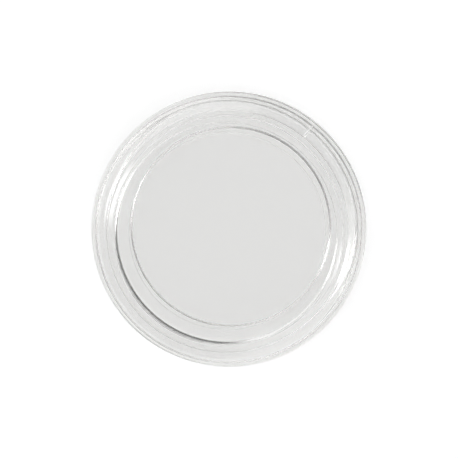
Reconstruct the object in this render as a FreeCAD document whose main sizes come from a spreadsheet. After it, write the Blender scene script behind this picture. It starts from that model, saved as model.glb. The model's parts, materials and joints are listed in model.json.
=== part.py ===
import FreeCAD, Part
import os
import Sketcher

# Round coin capsule of clear moulded plastic: a base shell and a lid shell that
# slip together around one coin.  The capsule lies flat.  Z points up, the
# origin is the centre of the underside, and z = 0 is the face it rests on.
# Lengths are in millimetres.

DRIVING_SIZES = [
    ("coin_diameter", 51.0, "diameter of the coin that the cell holds"),
    ("flange_diameter", 62.0, "outside diameter, over the two flanges"),
    ("total_height", 8.0, "height of the closed capsule"),
    ("recess_depth", 1.5, "how far each window lies in from the crown around it"),
    ("window_thickness", 0.95, "thickness of the flat windows"),
    ("lid_recess_radius", 24.7, "radius of the recess in the lid"),
    ("base_recess_radius", 22.5, "radius of the recess in the base"),
    ("recess_draft", 0.05, "taper of a recess wall over its depth"),
    ("crown_radius", 25.5, "radius where the flat crown turns into the step"),
    ("step_radius", 26.4, "radius of the foot of the step"),
    ("step_drop", 0.3, "fall of the step below the crown"),
    ("flank_radius", 28.3, "radius where the flank starts"),
    ("flank_start", 0.45, "fall of the start of the flank below the crown"),
    ("rim_radius", 30.0, "radius of the foot of the flank, at the flange"),
    ("flange_reach", 0.75, "from the middle plane to the outer face of a flange"),
    ("seam_gap", 0.06, "open seam between the two flanges"),
    ("ring_wall", 1.5, "thickness of the upright ring around the coin"),
    ("wall_draft", 0.03, "taper of the outside of the ring and of the skirt"),
    ("skirt_wall", 1.35, "thickness of the lid's skirt"),
    ("slip_gap", 0.05, "radial clearance on either side of the skirt"),
    ("end_gap", 0.1, "clearance at the free ends of the ring and the skirt"),
    ("relief_radius", 22.1, "radius of the relief inside the lid's window"),
    ("relief_depth", 0.12, "depth of that relief, which spares the coin's face"),
    ("shoulder_round", 3.0, "rounding where the flank starts"),
    ("shoulder_drop", 0.45, "how far that rounding lowers the face at flank_radius"),
    ("step_round", 2.5, "rounding of the foot of the step"),
    ("base_lip_round", 0.7, "rounding of the recess lip of the base"),
    ("crown_round", 0.6, "rounding between the crown and the step"),
    ("lid_lip_round", 0.45, "rounding of the recess lip of the lid"),
    ("root_round", 0.2, "rounding between the flank and the flange"),
    ("fine_round", 0.15, "rounding of the remaining small edges"),
    ("edge_round", 0.1, "rounding of the flange edges"),
    ("knit_angle", 51.0, "direction of the knit line from +X, in degrees"),
    ("knit_width", 0.4, "width of the knit line"),
    ("knit_depth", 0.1, "depth of the knit line, measured upright"),
    ("knit_start", 27.4, "radius where the knit line starts"),
    ("knit_end", 30.4, "radius where the knit line ends"),
]

# Lengths that follow from the driving sizes, as expressions for the sketches.
MIDDLE = "(Sizes.total_height / 2)"
CELL_RADIUS = "(Sizes.coin_diameter / 2)"
FLANGE_RADIUS = "(Sizes.flange_diameter / 2)"
SHELL_FLOOR = "(Sizes.recess_depth + Sizes.window_thickness)"
RING_OUTSIDE = f"({CELL_RADIUS} + Sizes.ring_wall)"
SKIRT_INSIDE = f"({RING_OUTSIDE} + Sizes.slip_gap)"
SKIRT_OUTSIDE = f"({SKIRT_INSIDE} + Sizes.skirt_wall)"
CHANNEL_OUTSIDE = f"({SKIRT_OUTSIDE} + Sizes.slip_gap)"
FLANGE_FACE = f"({MIDDLE} - Sizes.flange_reach)"
ON_AXIS = "0"

# Roundings in the order they are made, from the largest to the smallest.
ROUNDINGS = [
    "shoulder_round",
    "step_round",
    "base_lip_round",
    "crown_round",
    "lid_lip_round",
    "root_round",
    "fine_round",
    "edge_round",
]

SAME_PLACE = 1e-4


def make_sheet(doc):
    """The spreadsheet of driving sizes: name, value and meaning in each row."""
    sheet = doc.addObject("Spreadsheet::Sheet", "Sizes")
    for row, (name, value, meaning) in enumerate(DRIVING_SIZES, start=1):
        sheet.set(f"A{row}", name)
        sheet.set(f"B{row}", str(value))
        sheet.setAlias(f"B{row}", name)
        sheet.set(f"C{row}", meaning)
    doc.recompute()
    return sheet


def origin_plane(body, role):
    """One of the three planes of the body's own origin."""
    for feature in body.Origin.OriginFeatures:
        if feature.Role == role:
            return feature
    raise ValueError(f"{body.Label} has no {role}")


def add_outline(sketch, sheet, corners):
    """A closed outline of straight lines through corners (name, radius, height, ...)."""
    places = []
    for corner in corners:
        radius = sheet.evalExpression(corner[1])
        height = sheet.evalExpression(corner[2])
        places.append(FreeCAD.Vector(radius, height, 0))
    count = len(corners)
    for index in range(count):
        line = Part.LineSegment(places[index], places[(index + 1) % count])
        sketch.addGeometry(line, False)
    for index in range(count):
        following = (index + 1) % count
        sketch.addConstraint(Sketcher.Constraint("Coincident", index, 2, following, 1))
    for index, corner in enumerate(corners):
        across = ("DistanceX", "_radius", corner[1], places[index].x)
        upward = ("DistanceY", "_height", corner[2], places[index].y)
        for kind, ending, expression, value in (across, upward):
            constraint = Sketcher.Constraint(kind, -1, 1, index, 1, value)
            number = sketch.addConstraint(constraint)
            sketch.renameConstraint(number, corner[0] + ending)
            sketch.setExpression("Constraints." + corner[0] + ending, expression)


def ring_edges(shape, radius, height):
    """Names of the circular edges around Z with this radius at this height."""
    names = []
    for number, edge in enumerate(shape.Edges, start=1):
        if not isinstance(edge.Curve, Part.Circle):
            continue
        same_radius = abs(edge.Curve.Radius - radius) < SAME_PLACE
        same_height = abs(edge.Curve.Center.z - height) < SAME_PLACE
        if same_radius and same_height:
            names.append(f"Edge{number}")
    return names


def revolve_shell(body, sheet, corners):
    """Turn the outline once around Z, then round its corners group by group."""
    doc = body.Document
    sketch = body.newObject("Sketcher::SketchObject", body.Name + "_profile")
    sketch.AttachmentSupport = [(origin_plane(body, "XZ_Plane"), "")]
    sketch.MapMode = "FlatFace"
    add_outline(sketch, sheet, corners)
    turned = body.newObject("PartDesign::Revolution", body.Name + "_turned")
    turned.Profile = (sketch, [""])
    turned.ReferenceAxis = (sketch, ["V_Axis"])
    turned.Angle = 360.0
    doc.recompute()
    for rounding in ROUNDINGS:
        base = body.Tip
        edges = []
        for name, radius, height, wanted in corners:
            if wanted == rounding:
                at_radius = sheet.evalExpression(radius)
                at_height = sheet.evalExpression(height)
                edges += ring_edges(base.Shape, at_radius, at_height)
        if not edges:
            continue
        fillet = body.newObject("PartDesign::Fillet", f"{body.Name}_{rounding}")
        fillet.Base = (base, edges)
        fillet.setExpression("Radius", f"Sizes.{rounding}")
        doc.recompute()


def outer_corners(recess_radius, lip_round, height):
    """The outside of a shell, from its window to its seam.

    height turns a distance in from the shell's outer face into a height.
    """
    flange_face = height(FLANGE_FACE)
    seam_face = height(f"({MIDDLE} - Sizes.seam_gap / 2)")
    recess_foot = f"({recess_radius} - Sizes.recess_draft)"
    return [
        ("window_centre", ON_AXIS, height("Sizes.recess_depth"), None),
        ("recess_foot", recess_foot, height("Sizes.recess_depth"), "fine_round"),
        ("recess_lip", recess_radius, height("0"), lip_round),
        ("crown_edge", "Sizes.crown_radius", height("0"), "crown_round"),
        ("step_foot", "Sizes.step_radius", height("Sizes.step_drop"), "step_round"),
        ("shoulder", "Sizes.flank_radius", height("Sizes.flank_start"), "shoulder_round"),
        ("flange_root", "Sizes.rim_radius", flange_face, "root_round"),
        ("flange_edge", FLANGE_RADIUS, flange_face, "edge_round"),
        ("seam_edge", FLANGE_RADIUS, seam_face, "fine_round"),
    ]


def base_height(distance):
    """Height of a place in the base, measured up from its outer face."""
    return distance


def lid_height(distance):
    """Height of a place in the lid, measured down from its outer face."""
    return f"(Sizes.total_height - {distance})"


def base_corners():
    """The base: a channel for the skirt, then the upright ring around the coin."""
    seam = f"({MIDDLE} - Sizes.seam_gap / 2)"
    ring_top = lid_height(f"({SHELL_FLOOR} + Sizes.end_gap)")
    ring_tip = f"({RING_OUTSIDE} - Sizes.wall_draft)"
    return outer_corners("Sizes.base_recess_radius", "base_lip_round", base_height) + [
        ("channel_mouth", CHANNEL_OUTSIDE, seam, "fine_round"),
        ("channel_foot", CHANNEL_OUTSIDE, SHELL_FLOOR, "fine_round"),
        ("ring_foot", RING_OUTSIDE, SHELL_FLOOR, "fine_round"),
        ("ring_top_outside", ring_tip, ring_top, "fine_round"),
        ("ring_top_inside", CELL_RADIUS, ring_top, "fine_round"),
        ("cell_corner", CELL_RADIUS, SHELL_FLOOR, "fine_round"),
        ("cell_centre", ON_AXIS, SHELL_FLOOR, None),
    ]


def lid_corners():
    """The lid: a skirt that slips around the ring, then the relieved window."""
    seam = lid_height(f"({MIDDLE} - Sizes.seam_gap / 2)")
    skirt_end = f"({SHELL_FLOOR} + Sizes.end_gap)"
    skirt_tip = f"({SKIRT_OUTSIDE} - Sizes.wall_draft)"
    underside = lid_height(SHELL_FLOOR)
    relief_top = lid_height(f"({SHELL_FLOOR} - Sizes.relief_depth)")
    relief_edge = "(Sizes.relief_radius + Sizes.relief_depth)"
    return outer_corners("Sizes.lid_recess_radius", "lid_lip_round", lid_height) + [
        ("skirt_root", SKIRT_OUTSIDE, seam, None),
        ("skirt_end_outside", skirt_tip, skirt_end, "fine_round"),
        ("skirt_end_inside", SKIRT_INSIDE, skirt_end, "fine_round"),
        ("ring_seat", SKIRT_INSIDE, underside, "fine_round"),
        ("relief_edge", relief_edge, underside, None),
        ("relief_foot", "Sizes.relief_radius", relief_top, None),
        ("relief_centre", ON_AXIS, relief_top, None),
    ]


def cut_knit_line(body, sheet):
    """A fine radial line down the lid's flank, where the melt met in the mould."""
    doc = body.Document
    before = body.Shape.Volume
    start = lid_height("(Sizes.flank_start + Sizes.knit_depth)")
    bend = lid_height("(Sizes.flank_start + Sizes.shoulder_drop + Sizes.knit_depth)")
    foot = lid_height(f"({FLANGE_FACE} + Sizes.knit_depth)")
    corners = [
        ("start_bottom", "Sizes.knit_start", start),
        ("bend_bottom", "Sizes.flank_radius", bend),
        ("foot_bottom", "Sizes.rim_radius", foot),
        ("end_bottom", "Sizes.knit_end", foot),
        ("end_top", "Sizes.knit_end", lid_height("0")),
        ("start_top", "Sizes.knit_start", lid_height("0")),
    ]
    plane = body.newObject("PartDesign::Plane", "knit_plane")
    plane.AttachmentSupport = [(origin_plane(body, "XZ_Plane"), "")]
    plane.MapMode = "ObjectXY"
    plane.setExpression("AttachmentOffset.Rotation.Axis.x", "0")
    plane.setExpression("AttachmentOffset.Rotation.Axis.y", "1")
    plane.setExpression("AttachmentOffset.Rotation.Axis.z", "0")
    plane.setExpression("AttachmentOffset.Rotation.Angle", "Sizes.knit_angle")
    sketch = body.newObject("Sketcher::SketchObject", "knit_profile")
    sketch.AttachmentSupport = [(plane, "")]
    sketch.MapMode = "FlatFace"
    add_outline(sketch, sheet, corners)
    pocket = body.newObject("PartDesign::Pocket", "knit_line")
    pocket.Profile = (sketch, [""])
    pocket.SideType = "Symmetric"
    pocket.setExpression("Length", "Sizes.knit_width")
    doc.recompute()
    if not body.Shape.Volume < before:
        raise ValueError("the knit line cuts nothing")


def make_body(doc, label):
    """An empty body for one shell, at the capsule's own origin."""
    body = doc.addObject("PartDesign::Body", label)
    body.Label = label
    body.Placement = FreeCAD.Placement()
    return body


def make_base(doc, sheet):
    body = make_body(doc, "base_shell")
    revolve_shell(body, sheet, base_corners())
    return body


def make_lid(doc, sheet):
    body = make_body(doc, "lid_shell")
    revolve_shell(body, sheet, lid_corners())
    cut_knit_line(body, sheet)
    return body


def check_document(doc, shells):
    """Stop if any feature failed or any shell is not one valid solid."""
    for feature in doc.Objects:
        if "Invalid" in feature.State or "Error" in feature.State:
            raise ValueError(f"{feature.Label} failed: {feature.State}")
    for shell in shells:
        shape = shell.Shape
        if shape.isNull() or not shape.isValid() or len(shape.Solids) != 1:
            raise ValueError(f"{shell.Label} is not one valid solid")


def write_shells(shells):
    os.makedirs("parts", exist_ok=True)
    for shell in shells:
        shell.Shape.exportStep(f"parts/{shell.Label}.step")
        box = shell.Shape.BoundBox
        print(f"{shell.Label}: {shell.Shape.Volume:.1f} mm3, z {box.ZMin:.3f} to {box.ZMax:.3f}")


def main():
    doc = FreeCAD.newDocument("coin_capsule")
    sheet = make_sheet(doc)
    shells = [make_base(doc, sheet), make_lid(doc, sheet)]
    doc.recompute()
    check_document(doc, shells)
    write_shells(shells)


main()
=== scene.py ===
import json
import math

import bpy
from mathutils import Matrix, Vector


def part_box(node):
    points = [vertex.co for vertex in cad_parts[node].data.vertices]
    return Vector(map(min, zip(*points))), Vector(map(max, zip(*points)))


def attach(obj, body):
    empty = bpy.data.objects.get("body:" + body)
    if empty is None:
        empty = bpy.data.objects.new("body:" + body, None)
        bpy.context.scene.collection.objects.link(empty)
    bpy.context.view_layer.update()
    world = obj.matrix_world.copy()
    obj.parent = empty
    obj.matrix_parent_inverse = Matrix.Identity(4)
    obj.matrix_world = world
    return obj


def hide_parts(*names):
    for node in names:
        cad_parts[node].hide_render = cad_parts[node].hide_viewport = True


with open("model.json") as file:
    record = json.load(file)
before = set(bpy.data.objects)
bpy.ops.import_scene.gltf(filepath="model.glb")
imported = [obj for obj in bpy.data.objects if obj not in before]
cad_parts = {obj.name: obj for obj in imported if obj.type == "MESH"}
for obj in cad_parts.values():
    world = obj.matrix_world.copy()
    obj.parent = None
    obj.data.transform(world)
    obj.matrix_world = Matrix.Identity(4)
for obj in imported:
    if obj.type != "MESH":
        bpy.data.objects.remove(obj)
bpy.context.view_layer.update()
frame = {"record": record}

# A closed coin capsule of clear moulded plastic, lying flat on a pale table.
# The two shells are turned again here with fine roundings, because clear
# plastic shows every facet.  Outlines are in millimetres, the scene in metres.

MM = 0.001
STEPS_ROUND = 384
STEPS_PER_ROUNDING = 8
STEPS_PER_HALF_LINE = 4
ON_AXIS = 1e-6

# ---------------------------------------------------------------- the frame

record = frame["record"]
mounts = {mount["name"]: mount for mount in record["mounts"]}
base_low, base_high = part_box("base_shell")
lid_low, lid_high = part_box("lid_shell")

TOP = lid_high.z / MM
RING_TOP = base_high.z / MM
SKIRT_END = lid_low.z / MM
MIDDLE = TOP / 2
FLANGE_RADIUS = mounts["outer_rim"]["dims"]["r_mm"]
CELL_RADIUS = mounts["coin_seat"]["dims"]["r_mm"]

# The rest of the cross-section, in millimetres, as the design has it.  Only the
# flange's outer edge is rounder here, the relief steeper and the knit line
# shallower.
END_GAP = 0.1
FLOOR = SKIRT_END - END_GAP
RECESS = 1.5
LID_RECESS_RADIUS = 24.7
BASE_RECESS_RADIUS = 22.5
RECESS_DRAFT = 0.05
CROWN_RADIUS = 25.5
STEP_RADIUS = 26.4
STEP_DROP = 0.3
FLANK_RADIUS = 28.3
FLANK_START = 0.45
RIM_RADIUS = 30.0
FLANGE_REACH = 0.75
SEAM_GAP = 0.06
RING_WALL = 1.5
SKIRT_WALL = 1.35
SLIP_GAP = 0.05
RING_OUTSIDE = CELL_RADIUS + RING_WALL
SKIRT_INSIDE = RING_OUTSIDE + SLIP_GAP
SKIRT_OUTSIDE = SKIRT_INSIDE + SKIRT_WALL
CHANNEL_OUTSIDE = SKIRT_OUTSIDE + SLIP_GAP
WALL_DRAFT = 0.03
RELIEF_RADIUS = 22.1
RELIEF_DEPTH = 0.12
RELIEF_DRAFT = 0.02
RELIEF_ROUND = 0.05

SHOULDER_ROUND = 3.0
STEP_ROUND = 2.5
BASE_LIP_ROUND = 0.7
CROWN_ROUND = 0.6
LID_LIP_ROUND = 0.45
EDGE_ROUND = 0.4
ROOT_ROUND = 0.2
FINE_ROUND = 0.15
SHARP = 0.0

# The knit line, a fine radial mark where the melt met in the mould.  It is
# frosted over its inner half and fades out at its ends and above the seam.
KNIT_ANGLE = math.radians(51)
KNIT_WIDTH = 0.4
KNIT_DEPTH = 0.05
KNIT_START = 27.4
KNIT_END = 30.4
KNIT_INNER = 0.5
KNIT_FADE_IN = 0.5
KNIT_FADE_OUT = 0.3
KNIT_ABOVE_SEAM = (0.1, 0.3)
KNIT_FROST = 0.3
# Painted highlight: the knit line glows faintly by emission, in place of the light it would scatter.
KNIT_PAINTED_GLOW = 0.18

# ------------------------------------------------------ the plastic's finish

# Flow marks are broad and run outward; haze is even; hairlines run one way.
TINT = (0.952, 0.9515, 0.945, 1)
SHADOW_TINT = (0.93, 0.93, 0.93, 1)
REFRACTION = 1.59
FLOW_STRETCH = (120, 9, 200)
HAZE_STRETCH = (160, 160, 160)
HAIR_STRETCH = (5200, 90, 400)
HAZE_LIMITS = (0.35, 0.7)
HAZE_ROUGHNESS = 0.025
HAIR_LIMITS = (0.66, 0.72)
HAIR_ROUGHNESS = 0.06
HAIR_HEIGHT = 0.1
RELIEF_OF_MARKS = 0.000006

# ------------------------------------------------------- the table and room

TABLE_GLOW = 0.5
TABLE_SHADE = (0.8, 0.8, 0.8, 1)
TABLE_SIZE = 1.0
TABLE_BELOW = 0.00002
WHITE = (1, 1, 1, 1)

# The walls are bright towards ROOM_SIDE and its opposite, dark across them.
# NEARLY_ONE is just over 1, so that straight up nothing is divided by zero.
NEARLY_ONE = 1.0001
ROOM_SIDE = math.radians(130)
ROOM_DARK = 0.08
ROOM_BRIGHT = 1.0
ROOM_TURN = (0.35, 0.6)
ROOM_ABOVE = 0.36
CEILING_EDGE = (0.75, 0.95)
LAMP_UP = math.radians(45)
LAMP_SIDES = (math.radians(185), math.radians(322))
LAMP_PEAK = 6.5
LAMP_EDGE = math.radians(12)
LAMP_CORE = math.radians(2)

# The camera stands VIEW_HEIGHT above the seam and VIEW_SLANT times that aside.
# UNSHIFT_RATE is how fast the lens shift goes as the camera tips over.
VIEW_HEIGHT = 0.4
VIEW_SLANT = 0.32
VIEW_SIDE = math.radians(55)
VIEW_WIDTH = 0.1034
SENSOR = 36.0
NEAREST_SEEN = 0.01
FARTHEST_SEEN = 100
UNSHIFT_RATE = 10000
LIGHT_BOUNCES = 96
CLEAR_BOUNCES = 32


def outer_outline(recess_radius, lip_round, height):
    """The outside of a shell from its window to its seam: radius, height, rounding."""
    flange_face = height(MIDDLE - FLANGE_REACH)
    return [
        (0, height(RECESS), SHARP),
        (recess_radius - RECESS_DRAFT, height(RECESS), FINE_ROUND),
        (recess_radius, height(0), lip_round),
        (CROWN_RADIUS, height(0), CROWN_ROUND),
        (STEP_RADIUS, height(STEP_DROP), STEP_ROUND),
        (FLANK_RADIUS, height(FLANK_START), SHOULDER_ROUND),
        (RIM_RADIUS, flange_face, ROOT_ROUND),
        (FLANGE_RADIUS, flange_face, EDGE_ROUND),
        (FLANGE_RADIUS, height(MIDDLE - SEAM_GAP / 2), FINE_ROUND),
    ]


def up_from_table(distance):
    return distance


def down_from_top(distance):
    return TOP - distance


def base_outline():
    seam = MIDDLE - SEAM_GAP / 2
    return outer_outline(BASE_RECESS_RADIUS, BASE_LIP_ROUND, up_from_table) + [
        (CHANNEL_OUTSIDE, seam, FINE_ROUND),
        (CHANNEL_OUTSIDE, FLOOR, FINE_ROUND),
        (RING_OUTSIDE, FLOOR, FINE_ROUND),
        (RING_OUTSIDE - WALL_DRAFT, RING_TOP, FINE_ROUND),
        (CELL_RADIUS, RING_TOP, FINE_ROUND),
        (CELL_RADIUS, FLOOR, FINE_ROUND),
        (0, FLOOR, SHARP),
    ]


def lid_outline():
    seam = MIDDLE + SEAM_GAP / 2
    underside = TOP - FLOOR
    relief = underside + RELIEF_DEPTH
    return outer_outline(LID_RECESS_RADIUS, LID_LIP_ROUND, down_from_top) + [
        (SKIRT_OUTSIDE, seam, SHARP),
        (SKIRT_OUTSIDE - WALL_DRAFT, SKIRT_END, FINE_ROUND),
        (SKIRT_INSIDE, SKIRT_END, FINE_ROUND),
        (SKIRT_INSIDE, underside, FINE_ROUND),
        (RELIEF_RADIUS, underside, RELIEF_ROUND),
        (RELIEF_RADIUS - RELIEF_DRAFT, relief, RELIEF_ROUND),
        (0, relief, SHARP),
    ]


# --------------------------------------------------------------- the meshes

def no_line(point, angle):
    """Depth and sideways slope of a surface with no knit line."""
    return 0.0, 0.0


def knit_line(point, angle):
    """Depth and sideways slope of the fine radial line down the lid's flank."""
    across = (angle - KNIT_ANGLE) * point.x
    on_flank = KNIT_START < point.x < KNIT_END and point.y > MIDDLE + SEAM_GAP
    if abs(across) > KNIT_WIDTH / 2 or not on_flank:
        return 0.0, 0.0
    phase = 2 * math.pi * across / KNIT_WIDTH
    depth = KNIT_DEPTH * (1 + math.cos(phase)) / 2
    slope = -KNIT_DEPTH * math.pi / KNIT_WIDTH * math.sin(phase)
    return depth, slope


def steps_around():
    """Angles around Z: even steps, with fine ones across the knit line.

    Even steps that lie close to the fine ones are left out.
    """
    even = [2 * math.pi * step / STEPS_ROUND for step in range(STEPS_ROUND)]
    half = KNIT_WIDTH / 2 / RIM_RADIUS
    close = half * 1.2
    fine = [
        KNIT_ANGLE + half * step / STEPS_PER_HALF_LINE
        for step in range(-STEPS_PER_HALF_LINE, STEPS_PER_HALF_LINE + 1)
    ]
    return sorted([angle for angle in even if abs(angle - KNIT_ANGLE) > close] + fine)


def rounded_pieces(outline):
    """The outline as straight and round pieces: pairs of points with their normals.

    The normals point out of the solid, so each piece keeps its own exact shading.
    """
    points = [Vector((radius, height)) for radius, height, _ in outline]
    count = len(points)
    area = sum(
        points[i].x * points[(i + 1) % count].y - points[(i + 1) % count].x * points[i].y
        for i in range(count)
    )
    turn = 1 if area > 0 else -1
    arcs = []
    for i in range(count):
        rounding = outline[i][2]
        here = points[i]
        back = (points[i - 1] - here).normalized()
        ahead = (points[(i + 1) % count] - here).normalized()
        if rounding == SHARP:
            arcs.append([(here, None)])
            continue
        half = math.acos(max(-1.0, min(1.0, back.dot(ahead)))) / 2
        reach = rounding / math.tan(half)
        centre = here + (back + ahead).normalized() * (rounding / math.sin(half))
        start = here + back * reach - centre
        end = here + ahead * reach - centre
        sweep = math.atan2(start.x * end.y - start.y * end.x, start.dot(end))
        outward = 1 if sweep * turn > 0 else -1
        arc = []
        for step in range(STEPS_PER_ROUNDING + 1):
            angle = sweep * step / STEPS_PER_ROUNDING
            spoke = Vector((
                start.x * math.cos(angle) - start.y * math.sin(angle),
                start.x * math.sin(angle) + start.y * math.cos(angle),
            ))
            arc.append((centre + spoke, spoke.normalized() * outward))
        arcs.append(arc)
    pieces = []
    for i in range(count):
        arc = arcs[i]
        for (p, n), (q, m) in zip(arc, arc[1:]):
            pieces.append((p, n, q, m))
        leave = arc[-1][0]
        arrive = arcs[(i + 1) % count][0][0]
        along = (arrive - leave).normalized()
        normal = Vector((along.y, -along.x)) * turn
        if leave.x > 0 or arrive.x > 0:
            pieces.append((leave, normal, arrive, normal))
    return pieces


def turned_mesh(name, outline, line):
    """The outline turned once around Z, as a closed mesh with exact normals.

    line gives the depth and the sideways slope of a knit line at each place.
    """
    angles = steps_around()
    count = len(angles)
    verts = []
    faces = []
    normals = []
    rings = {}

    def ring(point, normal):
        """Vertex numbers around Z at one point of the outline; one number on the axis."""
        key = (round(point.x, 6), round(point.y, 6))
        if key not in rings:
            steps = 1 if point.x < ON_AXIS else count
            first = len(verts)
            for angle in angles[:steps]:
                depth, _ = line(point, angle)
                radius = point.x - normal.x * depth
                height = point.y - normal.y * depth
                place = Vector((radius * math.cos(angle), radius * math.sin(angle), height))
                verts.append(place * MM)
            rings[key] = [first + step % steps for step in range(count)]
        return rings[key]

    def swung(point, normal, angle):
        """The normal at one place around Z, leaning where the knit line slopes."""
        _, slope = line(point, angle)
        outward = Vector((normal.x * math.cos(angle), normal.x * math.sin(angle), normal.y))
        sideways = Vector((-math.sin(angle), math.cos(angle), 0))
        return (outward + sideways * slope).normalized()

    for p, n, q, m in rounded_pieces(outline):
        low = ring(p, n)
        high = ring(q, m)
        for step in range(count):
            after = (step + 1) % count
            corners = [
                (low[step], swung(p, n, angles[step])),
                (low[after], swung(p, n, angles[after])),
                (high[after], swung(q, m, angles[after])),
                (high[step], swung(q, m, angles[step])),
            ]
            if low[0] == low[1]:
                corners.pop(1)
            if high[0] == high[1]:
                corners.pop(-1)
            faces.append([number for number, _ in corners])
            normals.append([normal for _, normal in corners])
    a, b, c = (verts[number] for number in faces[0][:3])
    if (b - a).cross(c - a).dot(normals[0][0]) < 0:
        faces = [face[::-1] for face in faces]
        normals = [corner[::-1] for corner in normals]
    mesh = bpy.data.meshes.new(name)
    mesh.from_pydata(verts, [], faces)
    mesh.shade_smooth()
    mesh.normals_split_custom_set([normal for face in normals for normal in face])
    thing = bpy.data.objects.new(name, mesh)
    bpy.context.scene.collection.objects.link(thing)
    return thing


# --------------------------------------------------------- the shader nodes

def add(tree, kind, inputs=None, **settings):
    """A shader node; inputs gives each socket a value or another node's output."""
    made = tree.nodes.new(kind)
    for name, value in settings.items():
        setattr(made, name, value)
    for socket, value in (inputs or {}).items():
        if isinstance(value, bpy.types.NodeSocket):
            tree.links.new(value, made.inputs[socket])
        else:
            made.inputs[socket].default_value = value
    return made


def maths(tree, operation, a, b=0.0):
    return add(tree, "ShaderNodeMath", {0: a, 1: b}, operation=operation).outputs[0]


def ramp(tree, value, low, high, start, end):
    """A soft step from start to end while value goes from low to high."""
    limits = {"Value": value, "From Min": low, "From Max": high, "To Min": start, "To Max": end}
    return add(tree, "ShaderNodeMapRange", limits, interpolation_type="SMOOTHSTEP").outputs[0]


def noise(tree, place, stretch, detail):
    """Smooth noise over a place that is stretched differently along each axis."""
    scaled = add(tree, "ShaderNodeVectorMath", {0: place, 1: stretch}, operation="MULTIPLY")
    inputs = {"Vector": scaled.outputs[0], "Scale": 1.0, "Detail": detail}
    return add(tree, "ShaderNodeTexNoise", inputs).outputs["Fac"]


# ------------------------------------------------------------ the materials

def knit_mask(tree, angle, radius, z):
    """1 along the knit line down the lid's flank and 0 elsewhere, with soft edges."""
    aside = maths(tree, "ABSOLUTE", maths(tree, "SUBTRACT", angle, KNIT_ANGLE))
    across = maths(tree, "MULTIPLY", aside, radius)
    half = KNIT_WIDTH / 2 * MM
    inside = ramp(tree, across, half * KNIT_INNER, half, 1.0, 0.0)
    begun = ramp(tree, radius, KNIT_START * MM, (KNIT_START + KNIT_FADE_IN) * MM, 0.0, 1.0)
    ended = ramp(tree, radius, (KNIT_END - KNIT_FADE_OUT) * MM, KNIT_END * MM, 1.0, 0.0)
    low, high = ((MIDDLE + rise) * MM for rise in KNIT_ABOVE_SEAM)
    above = ramp(tree, z, low, high, 0.0, 1.0)
    along = maths(tree, "MULTIPLY", begun, ended)
    return maths(tree, "MULTIPLY", inside, maths(tree, "MULTIPLY", along, above))


def clear_plastic():
    """Clear polystyrene: glass-like, with flow marks, a faint haze and hairlines.

    The knit line is a little frosted, and glows faintly by emission: a painted highlight.  Shadow
    and diffuse rays pass straight through, so that the capsule casts only a light shadow.
    """
    material = bpy.data.materials.new("clear_plastic")
    material.use_nodes = True
    tree = material.node_tree
    tree.nodes.clear()
    place = add(tree, "ShaderNodeTexCoord").outputs["Object"]
    split = add(tree, "ShaderNodeSeparateXYZ", {0: place})
    x, y, z = split.outputs
    angle = maths(tree, "ARCTAN2", y, x)
    radius = maths(tree, "SQRT", maths(tree, "ADD", maths(tree, "MULTIPLY", x, x),
                                       maths(tree, "MULTIPLY", y, y)))
    around = add(tree, "ShaderNodeCombineXYZ", {0: radius, 1: angle, 2: z}).outputs[0]
    flow = noise(tree, around, FLOW_STRETCH, 3.0)
    haze = noise(tree, place, HAZE_STRETCH, 2.0)
    hair = ramp(tree, noise(tree, place, HAIR_STRETCH, 1.0), *HAIR_LIMITS, 0.0, 1.0)
    height = maths(tree, "ADD", flow, maths(tree, "MULTIPLY", hair, HAIR_HEIGHT))
    bump = add(tree, "ShaderNodeBump", {
        "Strength": 1.0,
        "Distance": RELIEF_OF_MARKS,
        "Height": height,
    })
    rough = maths(tree, "ADD", ramp(tree, haze, *HAZE_LIMITS, 0.0, HAZE_ROUGHNESS),
                  maths(tree, "MULTIPLY", hair, HAIR_ROUGHNESS))
    knit = knit_mask(tree, angle, radius, z)
    frost = maths(tree, "MULTIPLY", knit, KNIT_FROST)
    plastic = add(tree, "ShaderNodeBsdfPrincipled", {
        "Base Color": TINT,
        "Transmission Weight": 1.0,
        "IOR": REFRACTION,
        "Roughness": maths(tree, "ADD", rough, frost),
        # The emission is a painted highlight along the knit line; elsewhere it is zero.
        "Emission Color": WHITE,
        "Emission Strength": maths(tree, "MULTIPLY", knit, KNIT_PAINTED_GLOW),
        "Normal": bump.outputs[0],
    })
    passing = add(tree, "ShaderNodeBsdfTransparent", {"Color": SHADOW_TINT})
    path = add(tree, "ShaderNodeLightPath")
    soft = maths(tree, "MAXIMUM", path.outputs["Is Shadow Ray"], path.outputs["Is Diffuse Ray"])
    mixed = add(tree, "ShaderNodeMixShader", {0: soft, 1: plastic.outputs[0], 2: passing.outputs[0]})
    add(tree, "ShaderNodeOutputMaterial", {"Surface": mixed.outputs[0]})
    return material


def lit_table():
    """The matt white table, which glows a little like a photographer's light table."""
    material = bpy.data.materials.new("table")
    material.use_nodes = True
    surface = material.node_tree.nodes["Principled BSDF"]
    surface.inputs["Base Color"].default_value = TABLE_SHADE
    surface.inputs["Roughness"].default_value = 1.0
    surface.inputs["Specular IOR Level"].default_value = 0.0
    surface.inputs["Emission Color"].default_value = WHITE
    surface.inputs["Emission Strength"].default_value = TABLE_GLOW
    return material


# ------------------------------------------------ the table, room and camera

def lay_table():
    bpy.ops.mesh.primitive_plane_add(size=TABLE_SIZE, location=(0, 0, -TABLE_BELOW))
    table = bpy.context.object
    table.name = "table"
    table.data.materials.append(lit_table())


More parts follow.
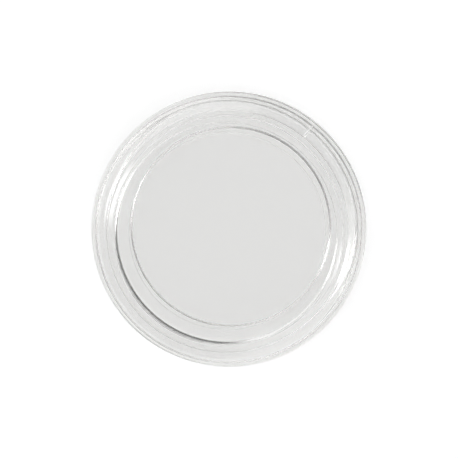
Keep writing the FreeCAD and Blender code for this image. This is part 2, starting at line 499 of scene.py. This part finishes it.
def surround():
    """A room with two soft lamps, darker towards two opposite sides.

    The camera itself sees plain white past the table.
    """
    world = bpy.data.worlds.new("room")
    bpy.context.scene.world = world
    world.use_nodes = True
    tree = world.node_tree
    toward = add(tree, "ShaderNodeTexCoord").outputs["Generated"]
    x, y, z = add(tree, "ShaderNodeSeparateXYZ", {0: toward}).outputs

    def along(direction):
        """How far the view goes along a direction."""
        parts = add(tree, "ShaderNodeVectorMath", {0: toward, 1: direction}, operation="DOT_PRODUCT")
        return parts.outputs["Value"]

    sideways = along((math.cos(ROOM_SIDE), math.sin(ROOM_SIDE), 0))
    level = maths(tree, "SUBTRACT", NEARLY_ONE, maths(tree, "MULTIPLY", z, z))
    share = maths(tree, "DIVIDE", maths(tree, "MULTIPLY", sideways, sideways), level)
    walls = ramp(tree, share, *ROOM_TURN, ROOM_DARK, ROOM_BRIGHT)
    above = ramp(tree, z, *CEILING_EDGE, 0.0, 1.0)
    room = maths(tree, "ADD", maths(tree, "MULTIPLY", walls, maths(tree, "SUBTRACT", 1.0, above)),
                 maths(tree, "MULTIPLY", above, ROOM_ABOVE))
    for side in LAMP_SIDES:
        flat = math.cos(LAMP_UP)
        near = along((flat * math.cos(side), flat * math.sin(side), math.sin(LAMP_UP)))
        lamp = ramp(tree, near, math.cos(LAMP_EDGE), math.cos(LAMP_CORE), 0.0, LAMP_PEAK)
        room = maths(tree, "ADD", room, lamp)
    seen = add(tree, "ShaderNodeLightPath").outputs["Is Camera Ray"]
    strength = maths(tree, "ADD", seen,
                     maths(tree, "MULTIPLY", room, maths(tree, "SUBTRACT", 1.0, seen)))
    background = tree.nodes["Background"]
    background.inputs["Color"].default_value = WHITE
    tree.links.new(strength, background.inputs["Strength"])


def place_camera():
    """Looks straight down from off to one side; the lens shift brings the capsule back.

    The shift follows the camera, so that a camera turned towards the capsule has none.
    """
    lens = bpy.data.cameras.new("camera")
    camera = bpy.data.objects.new("camera", lens)
    bpy.context.scene.collection.objects.link(camera)
    bpy.context.scene.camera = camera
    slant = VIEW_HEIGHT * VIEW_SLANT
    camera.location = (
        slant * math.cos(VIEW_SIDE),
        slant * math.sin(VIEW_SIDE),
        VIEW_HEIGHT + MIDDLE * MM,
    )
    lens.sensor_width = SENSOR
    lens.lens = SENSOR * VIEW_HEIGHT / VIEW_WIDTH
    lens.clip_start = NEAREST_SEEN
    lens.clip_end = FARTHEST_SEEN
    for prop, axis in (("shift_x", "LOC_X"), ("shift_y", "LOC_Y")):
        driver = lens.driver_add(prop).driver
        driver.type = "SCRIPTED"
        for name, kind in (("side", axis), ("up", "LOC_Z"), ("tip", "ROT_X"), ("roll", "ROT_Y")):
            variable = driver.variables.new()
            variable.name = name
            variable.type = "TRANSFORMS"
            variable.targets[0].id = camera
            variable.targets[0].transform_type = kind
            variable.targets[0].transform_space = "WORLD_SPACE"
        reach = lens.lens / SENSOR
        driver.expression = (
            f"-side / (up - {MIDDLE * MM:.6f}) * {reach:.6f}"
            f" * max(0, 1 - {UNSHIFT_RATE} * (tip * tip + roll * roll))"
        )


# ------------------------------------------------------------- the building

plastic = clear_plastic()
for title, node_name, body, outline, line in (
    ("base_shell_clear", "base_shell", "base", base_outline(), no_line),
    ("lid_shell_clear", "lid_shell", "lid", lid_outline(), knit_line),
):
    shell = turned_mesh(title, outline, line)
    shell.data.materials.append(plastic)
    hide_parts(node_name)
    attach(shell, body)

lay_table()
surround()
place_camera()

scene = bpy.context.scene
scene.cycles.use_denoising = True
scene.cycles.max_bounces = LIGHT_BOUNCES
scene.cycles.transmission_bounces = LIGHT_BOUNCES
scene.cycles.glossy_bounces = LIGHT_BOUNCES
scene.cycles.transparent_max_bounces = CLEAR_BOUNCES
scene.view_settings.view_transform = "Standard"
